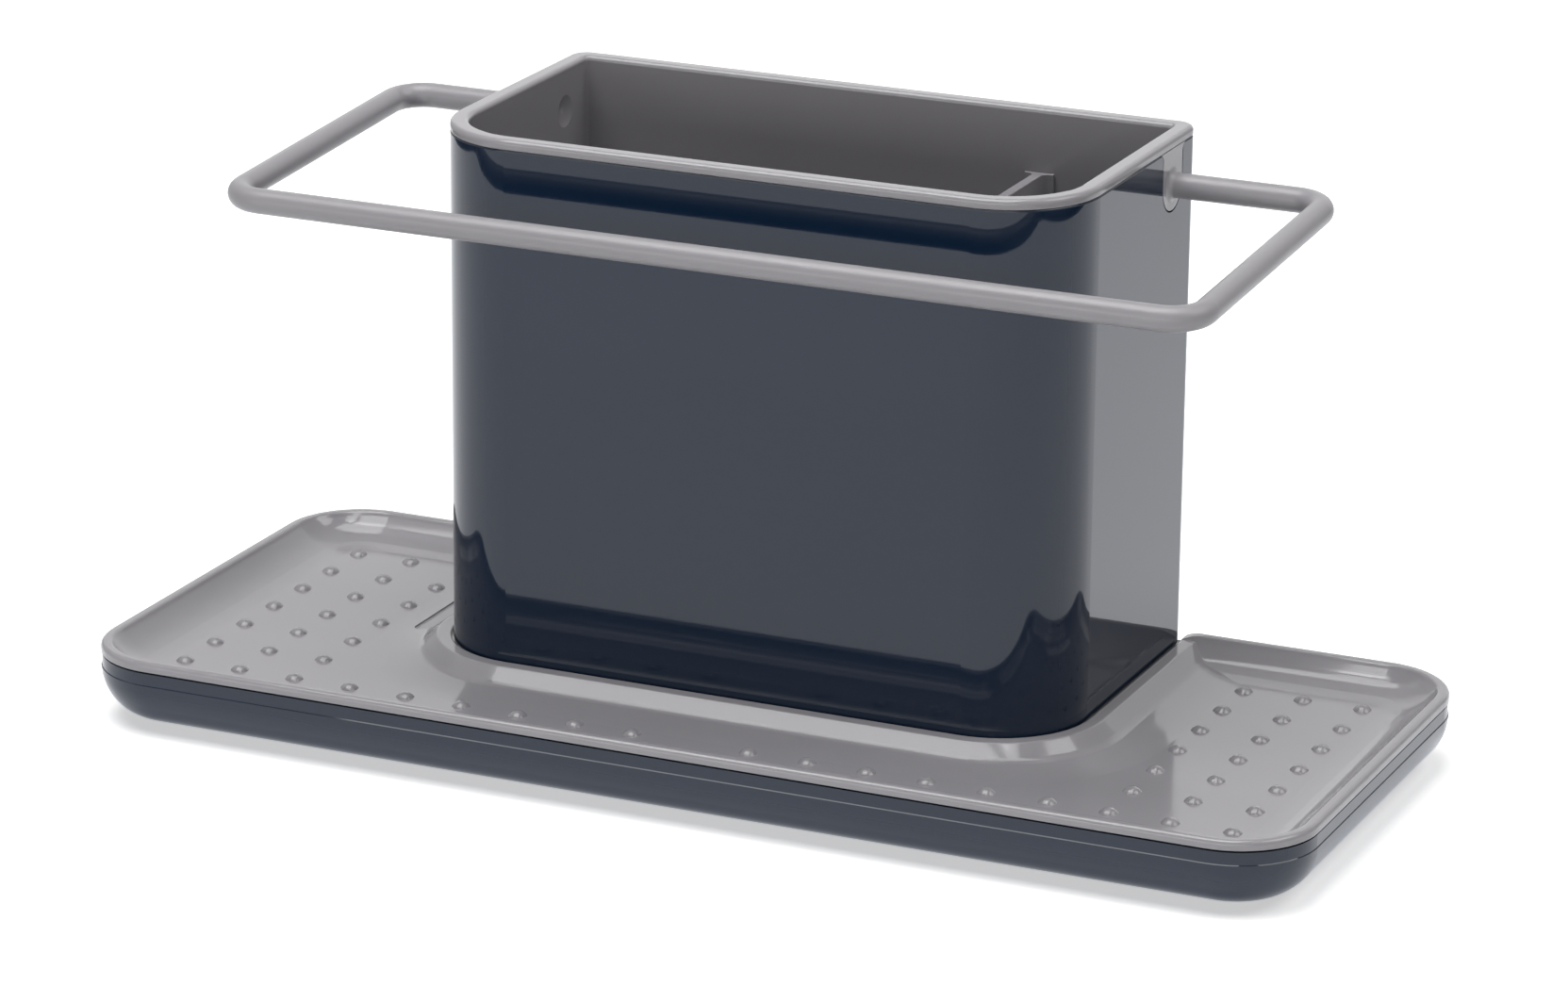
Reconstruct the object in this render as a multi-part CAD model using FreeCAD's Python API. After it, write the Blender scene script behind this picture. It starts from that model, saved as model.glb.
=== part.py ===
import FreeCAD, Part
import math
import os

# Kitchen sink caddy in millimetres, Z up, X along the length, the front at -Y.
# The origin is on the worktop under the middle of the trays.

V = FreeCAD.Vector
UP = V(0, 0, 1)

# Trays, seen from above
tray_length = 305.8
tray_depth = 128.9
tray_corner_r = 19.7

# Heights above the worktop, and steps down from them
rim_top_z = 19.1
rim_height = 2.25
dish_depth = 5.7
collar_drop = 1.25
pot_top_z = 145.3
liner_rim = 2.45

# Base tray
base_gap = 0.5
base_band = 2.9
base_plate = 2.2
base_crease = 0.2
gap_depth = 1.0
post_r = 4.0
post_inset = 6.0

# Feet
foot_proud = 1.0
foot_r = 6.0
foot_height = 2.0
foot_edge = 0.5
foot_pocket_gap = 0.3
foot_inset_x = 30.0
foot_inset_y = 24.0

# Drain tray
tray_plate = 2.0
tray_side_gap = 0.5
rim_edge_r = 1.2
rim_flat = 0.9
rim_inner_r = 1.0
rim_slope = 52.0
rim_flank = 0.6
rim_tail_slope = 8.0
rim_tail_r = 34.0
rim_end_run = 5.5
rim_end_reach = 6.0
collar_lip_r = 0.5
collar_flat = 2.5
collar_crown_r = 1.0
collar_slope = 40.0
collar_flank = 2.4
collar_tail_slope = 10.0
collar_tail_r = 60.0
collar_wall = 2.0
pot_gap = 0.6
pot_base_gap = 0.2
ledge_width = 10.0
ledge_plate = 2.0

# Nubs of the dish
nub_r = 2.2
nub_height = 1.2
nub_sunk = 0.3
nub_columns = 19
nub_rows = 7
nub_end_margin = 20.0
nub_front_margin = 19.9
nub_back_margin = 20.4
nub_pot_margin = 12.0

# Drain groove beside the pot, left-hand side, with small holes at its back end
slot_out = 10.55
slot_width = 5.2
slot_corner_r = 2.4
slot_sunk = 0.2
slot_floor_r = 0.4
slot_front_inset = 21.35
slot_back_inset = 18.0
slot_hole_r = 1.2
slot_holes = 3
slot_hole_pitch = 6.0

# Pot
pot_width = 161.5
pot_front_inset = 41.7
pot_back_inset = 0.9
pot_front_r = 22.6
pot_back_r = 4.5
shell_wall = 2.2
shell_floor = 2.0
shell_foot_r = 1.0
shell_edge_r = 0.4
liner_gap = 0.4
liner_wall = 2.0
liner_floor = 2.0
liner_hang = 0.7
liner_back_r = 0.8
liner_rim_r = 1.2
drain_hole_r = 3.0
drain_columns = 5
drain_margin = 14.0

# Tabs that carry the rail
tab_width = 12.3
tab_flare_r = 2.0
tab_gap = 0.4
dimple_r = 4.0
dimple_depth = 0.7
dimple_start = 0.3

# Rail
rail_r = 3.0
rail_bend_r = 8.0
rail_overhang = 38.7
rail_back_inset = 16.85
rail_back_drop = 8.7
rail_front_reach = 20.7
rail_fall = 4.65
rail_flare_r = 1.3
spigot_r = 2.0
spigot_length = 2.2
spigot_gap = 0.05
spigot_end_gap = 0.2

# Divider
divider_inset = 37.75
divider_plate = 2.5
divider_drop = 15.4
divider_flange = 7.4
divider_flange_plate = 0.7
divider_root_r = 2.2
divider_end_gap = 0.3
divider_edge_r = 0.3
divider_foot_gap = 0.3
divider_seat = 0.8

# Sizes that follow from the ones above
half_length = tray_length / 2
half_depth = tray_depth / 2
half_pot = pot_width / 2
rim_under_z = rim_top_z - rim_height
dish_floor_z = rim_top_z - dish_depth
collar_top_z = rim_top_z - collar_drop
base_top_z = rim_under_z - base_gap
base_band_z = base_top_z - base_band
base_under_z = foot_proud
base_floor_z = base_under_z + base_plate
pot_seat_z = base_top_z + pot_base_gap
plate_under_z = dish_floor_z - tray_plate
ledge_under_z = pot_seat_z - ledge_plate
dish_side = base_plate + tray_side_gap
pot_front_y = pot_front_inset - half_depth
pot_back_y = half_depth - pot_back_inset
pot_centre_y = (pot_front_y + pot_back_y) / 2
pot_wall = shell_wall + liner_gap + liner_wall
shell_top_z = pot_top_z - liner_rim
liner_under_z = pot_seat_z + shell_floor + liner_hang
liner_floor_z = liner_under_z + liner_floor
slot_front_y = pot_front_y + slot_front_inset
slot_back_y = pot_back_y - slot_back_inset
rail_half_span = half_pot + rail_overhang
rail_back_y = pot_back_y - rail_back_inset
rail_back_z = shell_top_z - rail_back_drop
rail_front_y = pot_front_y - rail_front_reach
rail_front_z = rail_back_z - rail_fall
divider_x = half_pot - divider_inset
divider_foot_z = liner_floor_z - divider_seat
divider_top_z = pot_top_z - divider_drop
divider_half_seat = divider_flange / 2 + divider_foot_gap
above_all = pot_top_z * 1.1


class Rect:
    """A rectangle with rounded corners, in the order front left, front right, back right, back left."""

    def __init__(self, x0, x1, y0, y1, radii):
        self.x0 = x0
        self.x1 = x1
        self.y0 = y0
        self.y1 = y1
        self.radii = radii

    def inset(self, d, least=0.0):
        """The same outline moved inwards by d, its corners no tighter than least."""
        radii = [max(r - d, least) for r in self.radii]
        return Rect(self.x0 + d, self.x1 - d, self.y0 + d, self.y1 - d, radii)

    def sides(self):
        """Start, end, direction and inward normal of each straight side, with the corner radius after it."""
        a, b, c, d = self.radii
        x0, x1, y0, y1 = self.x0, self.x1, self.y0, self.y1
        return [
            (V(x0 + a, y0, 0), V(x1 - b, y0, 0), V(0, 1, 0), b),
            (V(x1, y0 + b, 0), V(x1, y1 - c, 0), V(-1, 0, 0), c),
            (V(x1 - c, y1, 0), V(x0 + d, y1, 0), V(0, -1, 0), d),
            (V(x0, y1 - d, 0), V(x0, y0 + a, 0), V(1, 0, 0), a),
        ]

    def prism(self, z0, z1):
        """The outline as a solid from z0 to z1."""
        edges = []
        for start, end, inward, r in self.sides():
            edges.append(Part.makeLine(start, end))
            if r > 0:
                along = (end - start).normalize()
                centre = end + inward * r
                middle = centre + (along - inward) * (r * math.sqrt(0.5))
                finish = centre + along * r
                edges.append(Part.Arc(end, middle, finish).toShape())
        face = Part.Face(Part.Wire(Part.__sortEdges__(edges)))
        face.translate(V(0, 0, z0))
        return face.extrude(V(0, 0, z1 - z0))

    def ring(self, section, sense=1):
        """A section of (distance from the outline, height) steps carried all round the outline."""
        pieces = []
        for start, end, inward, r in self.sides():
            face = section_face(section, lambda s, z, o=start, n=inward: o + n * (s * sense) + UP * z)
            pieces.append(face.extrude(end - start))
            if r > 0:
                face.translate(end - start)
                pieces.append(face.revolve(end + inward * r, UP, 90))
        return pieces[0].fuse(pieces[1:]).removeSplitter()


def section_face(section, place):
    """A face from a start point and steps: one point is a line, two points an arc through the first."""
    edges = []
    here = place(*section[0])
    first = here
    for step in section[1:]:
        end = place(*step[-1])
        if len(step) == 1:
            edges.append(Part.makeLine(here, end))
        else:
            edges.append(Part.Arc(here, place(*step[0]), end).toShape())
        here = end
    edges.append(Part.makeLine(here, first))
    return Part.Face(Part.Wire(edges))


def on_arc(centre, r, degrees):
    """The point of an arc at an angle."""
    a = math.radians(degrees)
    return (centre[0] + r * math.cos(a), centre[1] + r * math.sin(a))


def edges_at(shape, z):
    """The edges of a shape that lie level at height z."""
    found = []
    for edge in shape.Edges:
        box = edge.BoundBox
        if abs(box.ZMin - z) < 1e-4 and abs(box.ZMax - z) < 1e-4:
            found.append(edge)
    return found


def cap(foot, axis, r, height, sunk):
    """A low round cap: r wide where it meets a surface, height tall along axis, rooted sunk below."""
    ball_r = (r ** 2 + height ** 2) / (2 * height)
    centre = foot + axis * (height - ball_r)
    from_angle = math.degrees(math.asin((ball_r - height - sunk) / ball_r))
    return Part.makeSphere(ball_r, centre, axis, from_angle, 90, 360)


def crown_and_cove(start, top_z, flat, crown_r, slope, flank, tail_slope, tail_r, floor_z):
    """Steps along a flat top, over a crown, down a flank, round a cove and out along a shallow tail."""
    steep = math.radians(slope)
    shallow = math.radians(tail_slope)
    crown_centre = (start + flat, top_z - crown_r)
    crown_end = on_arc(crown_centre, crown_r, 90 - slope)
    flank_end = (crown_end[0] + flank / math.tan(steep), crown_end[1] - flank)
    tail_z = floor_z + tail_r * (1 - math.cos(shallow))
    cove_r = (flank_end[1] - tail_z) / (math.cos(shallow) - math.cos(steep))
    cove_centre = (flank_end[0] + cove_r * math.sin(steep), flank_end[1] + cove_r * math.cos(steep))
    cove_end = on_arc(cove_centre, cove_r, 270 - tail_slope)
    foot = cove_end[0] + tail_r * math.sin(shallow)
    steps = [
        [(start + flat, top_z)],
        [on_arc(crown_centre, crown_r, 90 - slope / 2), crown_end],
        [flank_end],
        [on_arc(cove_centre, cove_r, 270 - (slope + tail_slope) / 2), cove_end],
        [on_arc((foot, floor_z + tail_r), tail_r, 270 - tail_slope / 2), (foot, floor_z)],
    ]
    return steps, foot


def drain_cutters():
    """Upright cutters for the drain holes in both floors of the pot, spread over its two compartments."""
    first = drain_margin + pot_wall - half_pot
    last = divider_x - divider_half_seat - drain_margin
    columns = [first + (last - first) * i / (drain_columns - 1) for i in range(drain_columns)]
    columns.append((divider_x + half_pot - pot_wall) / 2)
    reach = (pot_back_y - pot_front_y) / 2 - pot_wall - drain_margin
    cutters = []
    for x in columns:
        for row in (-1, 0, 1):
            under = V(x, pot_centre_y + row * reach, 0)
            cutters.append(Part.makeCylinder(drain_hole_r, liner_floor_z, under))
    return cutters


def tab_solid(side, half_width, flare_r, x_in, x_out):
    """A round-ended tab that flares into the rim, between two distances from the middle of the pot."""
    y = rail_back_y
    z = rail_back_z
    top = shell_top_z
    corner = math.sqrt(0.5)
    hip = half_width + flare_r
    section = [
        (-half_width, z),
        [(0, z - half_width), (half_width, z)],
        [(half_width, top - flare_r)],
        [(hip - flare_r * corner, top - flare_r + flare_r * corner), (hip, top)],
        [(-hip, top)],
        [(-hip + flare_r * corner, top - flare_r + flare_r * corner), (-half_width, top - flare_r)],
    ]
    face = section_face(section, lambda v, h: V(side * x_in, y + v, h))
    return face.extrude(V(side * (x_out - x_in), 0, 0))


tray = Rect(-half_length, half_length, -half_depth, half_depth, [tray_corner_r] * 4)
pot = Rect(-half_pot, half_pot, pot_front_y, pot_back_y, [pot_front_r, pot_front_r, pot_back_r, pot_back_r])
opening = Rect(pot.x0 - pot_gap, pot.x1 + pot_gap, pot.y0 - pot_gap, pot.y1 + pot_gap,
               [pot_front_r + pot_gap, pot_front_r + pot_gap, 0, 0])
behind_pot = Rect(opening.x0, opening.x1, half_depth - dish_side, half_depth + dish_side, [0] * 4)
feet_at = {
    "foot_front_left": (-half_length + foot_inset_x, -half_depth + foot_inset_y),
    "foot_front_right": (half_length - foot_inset_x, -half_depth + foot_inset_y),
    "foot_back_left": (-half_length + foot_inset_x, half_depth - foot_inset_y),
    "foot_back_right": (half_length - foot_inset_x, half_depth - foot_inset_y),
}


def make_base_tray():
    """Dark tray: upright band set back above a quarter-round wall, and a lip that draws the shadow line."""
    turn_z = base_band_z - base_crease
    outer_r = turn_z - base_under_z
    inner_r = outer_r - base_plate
    centre = (outer_r, turn_z)
    floor_edge = centre[0] + base_plate
    section = [
        (gap_depth, rim_under_z),
        [(base_plate, rim_under_z)],
        [(base_plate, turn_z)],
        [on_arc(centre, inner_r, 225), (centre[0], base_floor_z)],
        [(floor_edge, base_floor_z)],
        [(floor_edge, base_under_z)],
        [(centre[0], base_under_z)],
        [on_arc(centre, outer_r, 225), (0, turn_z)],
        [(base_crease, base_band_z)],
        [(base_crease, base_top_z)],
        [(gap_depth, base_top_z)],
    ]
    solid = tray.ring(section).fuse(tray.inset(floor_edge).prism(base_under_z, base_floor_z))
    solid = solid.cut(behind_pot.prism(base_top_z, above_all))
    ledge = opening.inset(post_inset)
    for x in (ledge.x0, ledge.x1):
        for y in (ledge.y0 + pot_front_r / 2, ledge.y1 - post_inset):
            solid = solid.fuse(Part.makeCylinder(post_r, ledge_under_z - base_floor_z, V(x, y, base_floor_z)))
    for x, y in feet_at.values():
        pocket = Part.makeCylinder(foot_r + foot_pocket_gap, foot_height - foot_proud, V(x, y, base_under_z))
        solid = solid.cut(pocket)
    return solid.removeSplitter()


def make_foot(x, y):
    """Soft round foot with a bevelled lower edge."""
    disc = Part.makeCylinder(foot_r, foot_height, V(x, y, 0))
    return disc.makeChamfer(foot_edge, edges_at(disc, 0))


def nub_points():
    """Square grid of nubs wherever the dish is flat, with the middle of the front row left smooth."""
    pitch_x = (tray_length - 2 * nub_end_margin) / (nub_columns - 1)
    pitch_y = (tray_depth - nub_front_margin - nub_back_margin) / (nub_rows - 1)
    points = []
    for i in range(nub_columns):
        for j in range(nub_rows):
            x = -half_length + nub_end_margin + i * pitch_x
            y = -half_depth + nub_front_margin + j * pitch_y
            beside = x < opening.x0 - nub_pot_margin or x > opening.x1 + nub_pot_margin
            in_front = y < opening.y0 - nub_pot_margin and i != nub_columns // 2
            if beside or in_front:
                points.append((x, y))
    return points


def make_rim():
    """Rounded rim and the hollow curve that leads from it down to the dish."""
    steps, foot = crown_and_cove(rim_edge_r, rim_top_z, rim_flat, rim_inner_r, rim_slope, rim_flank,
                                 rim_tail_slope, rim_tail_r, dish_floor_z)
    edge_centre = (rim_edge_r, rim_top_z - rim_edge_r)
    under_turn = dish_floor_z + tray_plate / 2
    section = [
        (0, rim_under_z),
        [(0, rim_top_z - rim_edge_r)],
        [on_arc(edge_centre, rim_edge_r, 135), (rim_edge_r, rim_top_z)],
    ]
    section += steps
    section += [
        [(foot, plate_under_z)],
        [((dish_side + foot) / 2, plate_under_z)],
        [(dish_side, under_turn)],
        [(dish_side, rim_under_z)],
    ]
    return tray.ring(section), foot


def make_collar():
    """Collar round the pot: a lip, a flat walk, a hollow flank and a skirt down to the ledge."""
    steps, foot = crown_and_cove(collar_lip_r, collar_top_z, collar_flat, collar_crown_r, collar_slope,
                                 collar_flank, collar_tail_slope, collar_tail_r, dish_floor_z)
    lip_centre = (collar_lip_r, collar_top_z - collar_lip_r)
    flank_under = (plate_under_z + dish_floor_z) / 2
    section = [
        (0, ledge_under_z),
        [(0, collar_top_z - collar_lip_r)],
        [on_arc(lip_centre, collar_lip_r, 135), (collar_lip_r, collar_top_z)],
    ]
    section += steps
    section += [
        [(foot, plate_under_z)],
        [(foot / 2, plate_under_z)],
        [(collar_wall, flank_under + tray_plate / 2)],
        [(collar_wall, ledge_under_z)],
    ]
    return opening.ring(section, sense=-1), foot


def back_cutters():
    """Cutters that open the rim behind the pot and round its two ends down to the collar."""
    arc_r = (rim_end_run ** 2 + collar_drop ** 2) / (2 * collar_drop)
    turn = math.degrees(math.asin(rim_end_run / arc_r))
    far = opening.x1 + rim_end_run
    section = [
        (opening.x1, collar_top_z),
        [on_arc((far, rim_top_z - arc_r), arc_r, 90 + turn / 2), (far, rim_top_z)],
        [(far, above_all)],
        [(opening.x1, above_all)],
    ]
    cutters = [behind_pot.prism(0, above_all)]
    for side in (-1, 1):
        face = section_face(section, lambda d, z, s=side: V(s * d, half_depth - rim_end_reach, z))
        cutters.append(face.extrude(V(0, rim_end_reach + dish_side, 0)))
    return cutters


def slot_cutters():
    """Round-ended drain groove in the foot of the collar and the holes that empty it into the base."""
    half = slot_width / 2
    x = opening.x0 - slot_out
    floor_z = dish_floor_z - slot_sunk
    outline = Rect(x - half, x + half, slot_front_y, slot_back_y, [slot_corner_r] * 4)
    groove = outline.prism(floor_z, above_all)
    cutters = [groove.makeFillet(slot_floor_r, edges_at(groove, floor_z))]
    for k in range(slot_holes):
        y = slot_back_y - half - k * slot_hole_pitch
        cutters.append(Part.makeCylinder(slot_hole_r, dish_floor_z, V(x, y, 0)))
    return cutters


def make_drain_tray():
    """Grey dished tray with rim, collar, nubs, a drain groove and an open ledge that carries the pot."""
    rim, rim_foot = make_rim()
    collar, collar_foot = make_collar()
    within = tray.inset(dish_side).prism(0, above_all)
    floor = tray.inset(rim_foot).prism(plate_under_z, dish_floor_z)
    floor = floor.cut(opening.inset(-collar_foot).prism(0, above_all))
    ledge = opening.prism(ledge_under_z, pot_seat_z).cut(opening.inset(ledge_width).prism(0, above_all))
    nubs = [cap(V(x, y, dish_floor_z), UP, nub_r, nub_height, nub_sunk) for x, y in nub_points()]
    solid = rim.fuse([floor, collar.common(within)])
    solid = solid.cut([opening.prism(0, above_all)] + back_cutters())
    solid = solid.fuse([ledge.common(within)] + nubs)
    return solid.cut(slot_cutters()).removeSplitter()


def make_pot_shell():
    """Dark outer pot with a drained floor and a notch on each side for the rail tabs."""
    outer = pot.prism(pot_seat_z, shell_top_z)
    outer = outer.makeFillet(shell_foot_r, edges_at(outer, pot_seat_z))
    outer = outer.makeFillet(shell_edge_r, edges_at(outer, shell_top_z))
    solid = outer.cut(pot.inset(shell_wall).prism(pot_seat_z + shell_floor, above_all))
    cutters = []
    for side in (-1, 1):
        cutters.append(tab_solid(side, tab_width / 2 + tab_gap, tab_flare_r - tab_gap,
                                 half_pot - shell_wall - liner_gap, half_pot + shell_wall))
    return solid.cut(cutters + drain_cutters()).removeSplitter()


def make_pot_liner():
    """Grey inner pot with its rim, side tabs, rail sockets, drained floor and a seat for the divider."""
    rim = pot.prism(shell_top_z, pot_top_z)
    rim = rim.makeFillet(liner_rim_r, edges_at(rim, pot_top_z))
    rim = rim.makeFillet(shell_edge_r, edges_at(rim, shell_top_z))
    body = pot.inset(shell_wall + liner_gap, liner_back_r).prism(liner_under_z, shell_top_z + shell_edge_r)
    parts = [body]
    for side in (-1, 1):
        parts.append(tab_solid(side, tab_width / 2, tab_flare_r, half_pot - pot_wall, half_pot))
    solid = rim.fuse(parts)
    inner = pot.inset(pot_wall, liner_back_r)
    solid = solid.cut(inner.prism(liner_floor_z, above_all))
    mouth = []
    for edge in edges_at(solid, pot_top_z):
        box = edge.BoundBox
        if max(abs(box.XMin), abs(box.XMax)) < inner.x1 + 1e-3 and box.YMax < inner.y1 + 1e-3:
            if box.YMin > inner.y0 - 1e-3:
                mouth.append(edge)
    solid = solid.makeFillet(liner_rim_r, mouth)
    cutters = []
    for side in (-1, 1):
        out = V(side, 0, 0)
        depth = spigot_length + spigot_end_gap
        cutters.append(Part.makeCylinder(spigot_r + spigot_gap, depth + shell_wall,
                                         V(side * (half_pot - depth), rail_back_y, rail_back_z), out))
        behind = V(side * inner.x1, rail_back_y, rail_back_z)
        cutters.append(cap(behind, out, dimple_r, dimple_depth, dimple_start))
    seat_x0 = divider_x - divider_half_seat
    seat_x1 = divider_x + divider_half_seat
    across = Rect(seat_x0, seat_x1, inner.y0, inner.y1, [0] * 4)
    cutters.append(across.prism(divider_foot_z, liner_floor_z).common(inner.prism(0, above_all)))
    return solid.cut(cutters + drain_cutters()).removeSplitter()


def rail_point(x, run):
    """A point of the sloping rail plane: x along the pot, run from the back towards the front."""
    slope = V(0, rail_front_y - rail_back_y, rail_front_z - rail_back_z).normalize()
    return V(x, rail_back_y, rail_back_z) + slope * run


def make_rail():
    """Round rail that leaves the tabs sideways and loops round the front, with flared ends and spigots."""
    depth = math.hypot(rail_front_y - rail_back_y, rail_front_z - rail_back_z)
    far = rail_half_span
    bend = rail_bend_r
    near = bend * (1 - math.sqrt(0.5))
    edges = []
    for side in (1, -1):
        edges.append(Part.makeLine(rail_point(side * half_pot, 0), rail_point(side * (far - bend), 0)))
        edges.append(Part.Arc(rail_point(side * (far - bend), 0), rail_point(side * (far - near), near),
                              rail_point(side * far, bend)).toShape())
        edges.append(Part.makeLine(rail_point(side * far, bend), rail_point(side * far, depth - bend)))
        edges.append(Part.Arc(rail_point(side * far, depth - bend),
                              rail_point(side * (far - near), depth - near),
                              rail_point(side * (far - bend), depth)).toShape())
    edges.append(Part.makeLine(rail_point(far - bend, depth), rail_point(bend - far, depth)))
    path = Part.Wire(Part.__sortEdges__(edges))
    start = path.OrderedVertexes[0].Point
    circle = Part.Wire(Part.makeCircle(rail_r, start, V(1, 0, 0)))
    solid = path.makePipe(Part.Face(circle))
    flare_out = rail_r + rail_flare_r
    turn = rail_flare_r * math.sqrt(0.5)
    parts = []
    for side in (-1, 1):
        section = [
            (0, 0),
            [(0, flare_out)],
            [(rail_flare_r - turn, flare_out - turn), (rail_flare_r, rail_r)],
            [(rail_flare_r, 0)],
        ]
        face = section_face(section, lambda d, r, s=side: V(s * (half_pot + d), rail_back_y, rail_back_z + r))
        parts.append(face.revolve(V(0, rail_back_y, rail_back_z), V(1, 0, 0), 360))
        parts.append(Part.makeCylinder(spigot_r, spigot_length + rail_flare_r,
                                       V(side * (half_pot - spigot_length), rail_back_y, rail_back_z),
                                       V(side, 0, 0)))
    return solid.fuse(parts).removeSplitter()


def make_divider():
    """Upright panel with a flange down each end that steadies it against the walls of the liner."""
    inner = pot.inset(pot_wall, liner_back_r)
    y0 = inner.y0 + divider_end_gap
    y1 = inner.y1 - divider_end_gap
    half = divider_plate / 2
    wide = divider_flange / 2
    root = divider_root_r
    turn = root * (1 - math.sqrt(0.5))
    thick = divider_flange_plate
    section = [
        (-wide, y0),
        [(wide, y0)],
        [(wide, y0 + thick)],
        [(half + root, y0 + thick)],
        [(half + turn, y0 + thick + turn), (half, y0 + thick + root)],
        [(half, y1 - thick - root)],
        [(half + turn, y1 - thick - turn), (half + root, y1 - thick)],
        [(wide, y1 - thick)],
        [(wide, y1)],
        [(-wide, y1)],
        [(-wide, y1 - thick)],
        [(-half - root, y1 - thick)],
        [(-half - turn, y1 - thick - turn), (-half, y1 - thick - root)],
        [(-half, y0 + thick + root)],
        [(-half - turn, y0 + thick + turn), (-half - root, y0 + thick)],
        [(-wide, y0 + thick)],
    ]
    face = section_face(section, lambda x, y: V(divider_x + x, y, divider_foot_z))
    solid = face.extrude(V(0, 0, divider_top_z - divider_foot_z))
    return solid.makeFillet(divider_edge_r, edges_at(solid, divider_top_z))


nodes = {
    "base_tray": make_base_tray(),
    "drain_tray": make_drain_tray(),
    "pot_shell": make_pot_shell(),
    "pot_liner": make_pot_liner(),
    "rail": make_rail(),
    "divider": make_divider(),
}
for foot_name, (foot_x, foot_y) in feet_at.items():
    nodes[foot_name] = make_foot(foot_x, foot_y)

os.makedirs("parts", exist_ok=True)
for node_name, shape in nodes.items():
    shape.exportStep("parts/" + node_name + ".step")
    print(node_name, shape.isValid(), len(shape.Solids), round(shape.Volume, 1), shape.BoundBox)
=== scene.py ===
import logging
import math
from dataclasses import dataclass, field
from enum import Enum
from typing import Any, Optional

import bmesh
import bpy
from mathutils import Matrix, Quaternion, Vector

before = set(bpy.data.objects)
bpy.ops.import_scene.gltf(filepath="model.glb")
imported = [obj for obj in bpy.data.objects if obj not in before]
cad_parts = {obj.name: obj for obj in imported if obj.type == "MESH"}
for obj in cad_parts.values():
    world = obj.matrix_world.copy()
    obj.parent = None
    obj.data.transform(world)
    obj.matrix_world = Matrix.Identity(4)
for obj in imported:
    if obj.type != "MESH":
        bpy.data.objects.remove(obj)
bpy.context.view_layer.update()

LOG = logging.getLogger("sink_caddy")
MM = 0.001
PHOTO_WIDTH_PX = 1663
PHOTO_HEIGHT_PX = 1046
WHITE = (1.0, 1.0, 1.0, 1.0)
RUBBER_IOR = 1.52
NEAR_CLIP_M = 0.05
FAR_CLIP_M = 50.0


class Part(Enum):
    """The named pieces of the caddy, as the frame calls them."""

    BASE_TRAY = "base_tray"
    DRAIN_TRAY = "drain_tray"
    POT_SHELL = "pot_shell"
    POT_LINER = "pot_liner"
    RAIL = "rail"
    DIVIDER = "divider"
    FOOT_FRONT_LEFT = "foot_front_left"
    FOOT_FRONT_RIGHT = "foot_front_right"
    FOOT_BACK_LEFT = "foot_back_left"
    FOOT_BACK_RIGHT = "foot_back_right"


def linear(hex_colour: str) -> tuple[float, float, float, float]:
    """Turn an sRGB hex colour into linear light.

    Args:
        hex_colour: six hex digits, with or without a leading hash.

    Returns:
        Red, green, blue and an alpha of 1.
    """
    digits = hex_colour.lstrip("#")
    out = []
    for i in (0, 2, 4):
        c = int(digits[i:i + 2], 16) / 255.0
        out.append(c / 12.92 if c <= 0.04045 else ((c + 0.055) / 1.055) ** 2.4)
    return (out[0], out[1], out[2], 1.0)


def add_node(tree: bpy.types.NodeTree, kind: str, settings: Optional[dict[str, Any]] = None,
             **inputs: Any) -> bpy.types.Node:
    """Add a node, set its properties and fill or link its inputs.

    Args:
        tree: the node tree that takes the node.
        kind: Blender's name for the node type.
        settings: properties of the node itself.
        inputs: socket names with underscores for spaces, or sN for socket number N; a value is
            either a constant or an output socket to link.

    Returns:
        The new node.
    """
    node = tree.nodes.new(kind)
    for key, value in (settings or {}).items():
        setattr(node, key, value)
    for key, value in inputs.items():
        if key[0] == "s" and key[1:].isdigit():
            socket = node.inputs[int(key[1:])]
        else:
            socket = node.inputs[key.replace("_", " ")]
        if isinstance(value, bpy.types.NodeSocket):
            tree.links.new(value, socket)
        else:
            socket.default_value = value
    return node


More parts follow.
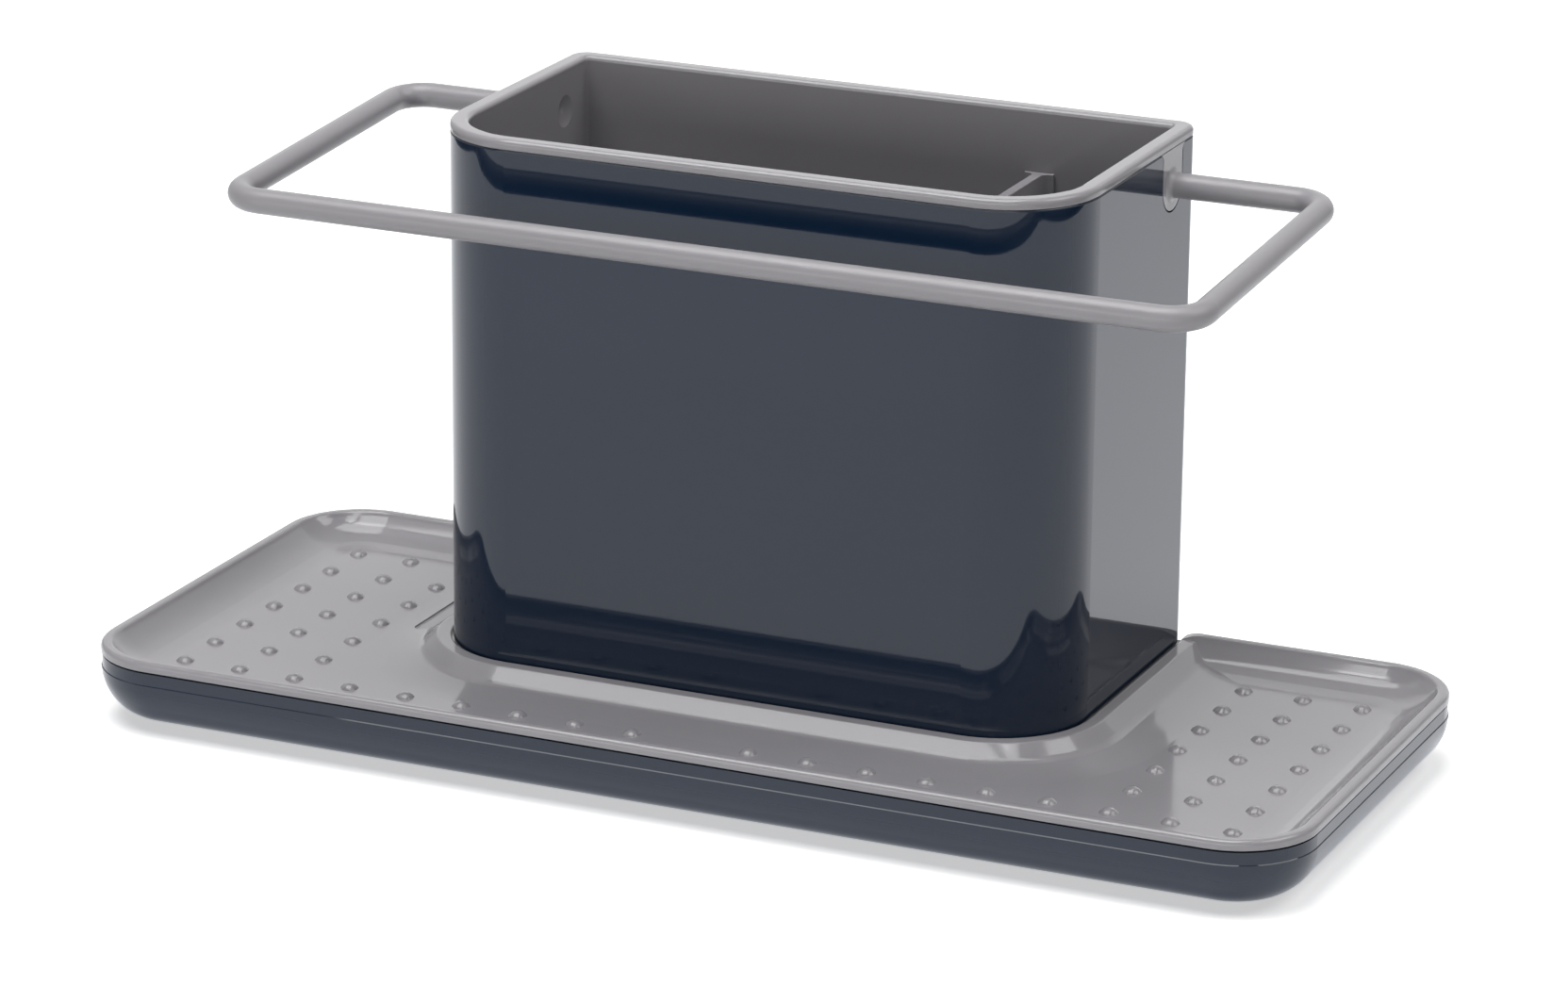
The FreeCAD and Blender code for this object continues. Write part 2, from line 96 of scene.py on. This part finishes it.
@dataclass(frozen=True)
class MouldedPlastic:
    """Injection-moulded plastic: one even colour, a gloss that the mould wall leaves a little uneven.

    Attributes:
        name: the material's name.
        deep: sRGB hex of the darker end of its slight mottle.
        pale: sRGB hex of the lighter end.
        gloss_low: roughness where the surface is cleanest.
        gloss_high: roughness where it is most handled.
        ior: index of refraction of the resin.
        mottle_mm: size of the colour mottle from the pigment's flow.
        smudge_mm: size of the patches of duller gloss.
        peel_mm: size of the soft orange-peel ripple.
        peel_height_mm: height of that ripple.
    """

    name: str
    deep: str
    pale: str
    gloss_low: float
    gloss_high: float
    ior: float
    mottle_mm: float
    smudge_mm: float
    peel_mm: float
    peel_height_mm: float

    def material(self) -> bpy.types.Material:
        """Build the node material.

        Returns:
            The finished material.
        """
        mat = bpy.data.materials.new(self.name)
        mat.use_nodes = True
        tree = mat.node_tree
        tree.nodes.clear()
        place = add_node(tree, "ShaderNodeTexCoord").outputs["Object"]
        mottle = add_node(tree, "ShaderNodeTexNoise", Vector=place, Scale=1 / (self.mottle_mm * MM),
                          Detail=3.0, Roughness=0.55)
        colour = add_node(tree, "ShaderNodeMix", {"data_type": "RGBA"}, s0=mottle.outputs["Fac"],
                          s6=linear(self.deep), s7=linear(self.pale))
        smudge = add_node(tree, "ShaderNodeTexNoise", Vector=place, Scale=1 / (self.smudge_mm * MM),
                          Detail=4.0, Roughness=0.6)
        gloss = add_node(tree, "ShaderNodeMapRange", Value=smudge.outputs["Fac"], From_Min=0.3,
                         From_Max=0.7, To_Min=self.gloss_low, To_Max=self.gloss_high)
        peel = add_node(tree, "ShaderNodeTexNoise", Vector=place, Scale=1 / (self.peel_mm * MM),
                        Detail=1.0, Roughness=0.4)
        ripple = add_node(tree, "ShaderNodeBump", Strength=1.0, Distance=self.peel_height_mm * MM,
                          Height=peel.outputs["Fac"])
        shader = add_node(tree, "ShaderNodeBsdfPrincipled", Base_Color=colour.outputs[2],
                          Roughness=gloss.outputs["Result"], IOR=self.ior, Normal=ripple.outputs["Normal"])
        add_node(tree, "ShaderNodeOutputMaterial", Surface=shader.outputs["BSDF"])
        return mat


@dataclass(frozen=True)
class MouldedRubber:
    """Soft moulded rubber: nearly black, matt, with a fine grain that scatters the light.

    Attributes:
        name: the material's name.
        deep: sRGB hex of the darker grain.
        pale: sRGB hex of the dusty grain.
        grain_mm: size of the grain, drawn coarser than the real one so that it shows.
        grain_height_mm: height of the grain.
    """

    name: str
    deep: str
    pale: str
    grain_mm: float
    grain_height_mm: float

    def material(self) -> bpy.types.Material:
        """Build the node material.

        Returns:
            The finished material.
        """
        mat = bpy.data.materials.new(self.name)
        mat.use_nodes = True
        tree = mat.node_tree
        tree.nodes.clear()
        place = add_node(tree, "ShaderNodeTexCoord").outputs["Object"]
        grain = add_node(tree, "ShaderNodeTexNoise", Vector=place, Scale=1 / (self.grain_mm * MM),
                         Detail=5.0, Roughness=0.65)
        colour = add_node(tree, "ShaderNodeMix", {"data_type": "RGBA"}, s0=grain.outputs["Fac"],
                          s6=linear(self.deep), s7=linear(self.pale))
        matt = add_node(tree, "ShaderNodeMapRange", Value=grain.outputs["Fac"], To_Min=0.7, To_Max=0.95)
        bump = add_node(tree, "ShaderNodeBump", Strength=1.0, Distance=self.grain_height_mm * MM,
                        Height=grain.outputs["Fac"])
        shader = add_node(tree, "ShaderNodeBsdfPrincipled", Base_Color=colour.outputs[2],
                          Roughness=matt.outputs["Result"], IOR=RUBBER_IOR, Normal=bump.outputs["Normal"])
        add_node(tree, "ShaderNodeOutputMaterial", Surface=shader.outputs["BSDF"])
        return mat


# Polished ABS, slate blue: dark enough that what it mirrors shows more than its own colour.
SLATE_GLOSS_ABS = MouldedPlastic(
    name="polished_slate_abs", deep="0a1c30", pale="0d1f34", gloss_low=0.03, gloss_high=0.06, ior=1.48,
    mottle_mm=35.0, smudge_mm=22.0, peel_mm=6.0, peel_height_mm=0.002)
# Fine-satin polypropylene, mid grey: an even grey with a softer but still clear sheen.
GREY_SATIN_PP = MouldedPlastic(
    name="satin_grey_polypropylene", deep="8c8a8d", pale="908e92", gloss_low=0.08, gloss_high=0.13, ior=1.50,
    mottle_mm=28.0, smudge_mm=18.0, peel_mm=5.0, peel_height_mm=0.003)
# The same resin from a blasted mould: the rail is duller than the trays and shows no sharp highlight.
GREY_MATT_PP = MouldedPlastic(
    name="matt_grey_polypropylene", deep="8c8a8d", pale="908e92", gloss_low=0.30, gloss_high=0.38, ior=1.50,
    mottle_mm=28.0, smudge_mm=18.0, peel_mm=5.0, peel_height_mm=0.002)
# Thermoplastic rubber pads: black and matt.
FOOT_RUBBER = MouldedRubber(
    name="moulded_black_rubber", deep="121314", pale="1d1e20", grain_mm=0.6, grain_height_mm=0.03)


def dress(part: Part, material: bpy.types.Material) -> None:
    """Give one piece of the frame its finish.

    Args:
        part: the piece.
        material: the finish.
    """
    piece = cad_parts[part.value]
    piece.data.materials.clear()
    piece.data.materials.append(material)
    LOG.info("%s: %s", part.value, material.name)


@dataclass
class TrayStack:
    """The drip base on its feet and the dished drain tray that drops into it.

    Attributes:
        shell: finish of the base.
        dish: finish of the drain tray.
        pads: finish of the feet.
        feet: the feet under the base.
    """

    shell: MouldedPlastic = SLATE_GLOSS_ABS
    dish: MouldedPlastic = GREY_SATIN_PP
    pads: MouldedRubber = FOOT_RUBBER
    feet: tuple[Part, ...] = (Part.FOOT_FRONT_LEFT, Part.FOOT_FRONT_RIGHT, Part.FOOT_BACK_LEFT,
                              Part.FOOT_BACK_RIGHT)

    def finish(self, finishes: dict[str, bpy.types.Material]) -> None:
        """Dress the trays and the feet.

        Args:
            finishes: the built materials by name.
        """
        dress(Part.BASE_TRAY, finishes[self.shell.name])
        dress(Part.DRAIN_TRAY, finishes[self.dish.name])
        for foot in self.feet:
            dress(foot, finishes[self.pads.name])


@dataclass
class Pot:
    """The dark pot with its grey liner, divider and hanging rail.

    Attributes:
        shell: finish of the outer pot.
        inside: finish of the liner and the divider.
        bar: finish of the rail.
    """

    shell: MouldedPlastic = SLATE_GLOSS_ABS
    inside: MouldedPlastic = GREY_SATIN_PP
    bar: MouldedPlastic = GREY_MATT_PP

    def finish(self, finishes: dict[str, bpy.types.Material]) -> None:
        """Dress the pot.

        Args:
            finishes: the built materials by name.
        """
        dress(Part.POT_SHELL, finishes[self.shell.name])
        for part in (Part.POT_LINER, Part.DIVIDER):
            dress(part, finishes[self.inside.name])
        dress(Part.RAIL, finishes[self.bar.name])


@dataclass
class Lamp:
    """A softbox that faces a point.

    Attributes:
        name: its name.
        at: where it stands, in metres.
        facing: what it points at.
        width: its width in metres.
        height: its height in metres.
        watts: its power.
    """

    name: str
    at: tuple[float, float, float]
    facing: tuple[float, float, float]
    width: float
    height: float
    watts: float

    def build(self) -> bpy.types.Object:
        """Make the lamp.

        Returns:
            The lamp object.
        """
        data = bpy.data.lights.new(self.name, "AREA")
        data.shape = "RECTANGLE"
        data.size = self.width
        data.size_y = self.height
        data.energy = self.watts
        lamp = bpy.data.objects.new(self.name, data)
        lamp.location = self.at
        aim = Vector(self.facing) - Vector(self.at)
        lamp.rotation_euler = aim.to_track_quat("-Z", "Y").to_euler()
        lamp.visible_camera = False  # the lamps themselves stay out of the picture
        bpy.context.scene.collection.objects.link(lamp)
        return lamp


@dataclass
class Studio:
    """A white sweep, soft light from above and the camera of the photograph.

    Attributes:
        floor_half: half the side of the square sweep, in metres.
        floor_colour: sRGB hex of the paper.
        floor_lift: how much the paper glows for the camera, which keeps the sweep white.
        floor_mirror_lift: how much it glows in what the glossy plastic mirrors.
        floor_mirror_tint: sRGB hex of that mirrored glow, a little cool.
        sky_mirror: how bright the room is in what the glossy plastic mirrors.
        lens_px: focal length in pixels of the photograph.
        lens_centre_px: where the lens points, in pixels from the top left of the photograph.
        sensor_mm: width of the sensor.
        camera_at: where the camera stands, in metres.
        azimuth: degrees from straight ahead round to the right.
        elevation: degrees above the worktop.
        roll: degrees that the camera leans.
        lamps: the lamps; the two overhead ones aim a hair to the back, which keeps their long sides along X.
    """

    floor_half: float = 0.9
    floor_colour: str = "f3f3f3"
    floor_lift: float = 0.5
    floor_mirror_lift: float = 0.5
    floor_mirror_tint: str = "f1f5ff"
    sky_mirror: float = 0.6
    lens_px: float = 6470.88
    lens_centre_px: tuple[float, float] = (775.37, 512.11)
    sensor_mm: float = 36.0
    camera_at: tuple[float, float, float] = (0.55271, -1.24433, 0.50225)
    azimuth: float = 24.3397
    elevation: float = 17.8571
    roll: float = 0.4004
    lamps: list[Lamp] = field(default_factory=lambda: [
        Lamp("softbox_above", (-0.21, 0.1, 1.5), (-0.21, 0.1001, 0.0), 1.08, 0.8, 10.5),
        Lamp("softbox_front_above", (-0.2, -0.45, 1.45), (-0.2, -0.44, 0.0), 1.3, 0.7, 13.0),
        Lamp("softbox_right", (1.1, 0.25, 1.3), (0.2, 0.1, 0.0), 1.0, 0.8, 8.5),
        Lamp("softbox_left", (-1.1, 0.0, 1.3), (-0.2, 0.0, 0.0), 1.0, 0.8, 1.0),
        Lamp("backdrop", (-0.6, 2.5, 0.9), (0.0, 0.0, 0.08), 3.4, 1.8, 10.0),
        Lamp("front_strip", (0.0, -2.0, 0.3), (0.0, 0.0, 0.05), 3.0, 0.5, 16.0),
    ])

    def by_ray(self, tree: bpy.types.NodeTree, camera: float, mirror: float) -> bpy.types.NodeSocket:
        """A strength that depends on who looks: the camera, a glossy surface or nobody.

        Args:
            tree: the node tree that asks.
            camera: the strength for the camera.
            mirror: the strength for what a glossy surface mirrors.

        Returns:
            The strength's socket, 0 for light that only falls on things.
        """
        path = add_node(tree, "ShaderNodeLightPath")
        mirrored = add_node(tree, "ShaderNodeMath", {"operation": "MULTIPLY"},
                            s0=path.outputs["Is Glossy Ray"], s1=mirror)
        total = add_node(tree, "ShaderNodeMath", {"operation": "MULTIPLY_ADD"},
                         s0=path.outputs["Is Camera Ray"], s1=camera, s2=mirrored.outputs[0])
        return total.outputs[0]

    def build_floor(self) -> None:
        """Lay the white sweep that the caddy stands on."""
        mesh = bpy.data.meshes.new("studio_floor")
        bm = bmesh.new()
        bmesh.ops.create_grid(bm, x_segments=1, y_segments=1, size=self.floor_half)
        bm.to_mesh(mesh)
        bm.free()
        floor = bpy.data.objects.new("studio_floor", mesh)
        bpy.context.scene.collection.objects.link(floor)
        mat = bpy.data.materials.new("white_paper_sweep")
        mat.use_nodes = True
        tree = mat.node_tree
        tree.nodes.clear()
        paper = add_node(tree, "ShaderNodeBsdfDiffuse", Color=linear(self.floor_colour))
        glow = add_node(tree, "ShaderNodeEmission", Color=WHITE,
                        Strength=self.by_ray(tree, self.floor_lift, 0.0))
        mirrored = add_node(tree, "ShaderNodeEmission", Color=linear(self.floor_mirror_tint),
                            Strength=self.by_ray(tree, 0.0, self.floor_mirror_lift))
        lit = add_node(tree, "ShaderNodeAddShader", s0=paper.outputs[0], s1=glow.outputs[0])
        sweep = add_node(tree, "ShaderNodeAddShader", s0=lit.outputs[0], s1=mirrored.outputs[0])
        add_node(tree, "ShaderNodeOutputMaterial", Surface=sweep.outputs[0])
        mesh.materials.append(mat)

    def build_sky(self) -> None:
        """Leave the room dim round the lamps, with white paper behind the caddy."""
        world = bpy.data.worlds.new("studio_sky")
        bpy.context.scene.world = world
        world.use_nodes = True
        tree = world.node_tree
        tree.nodes.clear()
        room = add_node(tree, "ShaderNodeBackground", Color=WHITE,
                        Strength=self.by_ray(tree, 1.0, self.sky_mirror))
        add_node(tree, "ShaderNodeOutputWorld", Surface=room.outputs[0])

    def build_camera(self) -> None:
        """Set the camera where the photograph was taken from."""
        data = bpy.data.cameras.new("photo_camera")
        data.sensor_fit = "HORIZONTAL"
        data.sensor_width = self.sensor_mm
        data.lens = self.lens_px / PHOTO_WIDTH_PX * self.sensor_mm
        data.shift_x = 0.5 - self.lens_centre_px[0] / PHOTO_WIDTH_PX
        data.shift_y = (self.lens_centre_px[1] - PHOTO_HEIGHT_PX / 2) / PHOTO_WIDTH_PX
        data.clip_start = NEAR_CLIP_M
        data.clip_end = FAR_CLIP_M
        camera = bpy.data.objects.new("photo_camera", data)
        camera.location = self.camera_at
        a = math.radians(self.azimuth)
        e = math.radians(self.elevation)
        ahead = Vector((-math.sin(a) * math.cos(e), math.cos(a) * math.cos(e), -math.sin(e)))
        turn = ahead.to_track_quat("-Z", "Y") @ Quaternion((0.0, 0.0, 1.0), math.radians(self.roll))
        camera.rotation_mode = "QUATERNION"
        camera.rotation_quaternion = turn
        bpy.context.scene.collection.objects.link(camera)
        bpy.context.scene.camera = camera

    def build(self) -> None:
        """Set up the whole studio."""
        self.build_camera()
        self.build_floor()
        self.build_sky()
        for lamp in self.lamps:
            lamp.build()
            LOG.info("%s: lamp", lamp.name)
        bpy.context.scene.view_settings.view_transform = "Standard"


def main() -> None:
    """Build the studio and dress every piece of the caddy."""
    logging.basicConfig(level=logging.INFO, format="%(name)s %(message)s")
    Studio().build()
    kinds = (SLATE_GLOSS_ABS, GREY_SATIN_PP, GREY_MATT_PP, FOOT_RUBBER)
    finishes = {kind.name: kind.material() for kind in kinds}
    TrayStack().finish(finishes)
    Pot().finish(finishes)


if __name__ == "__main__":
    main()
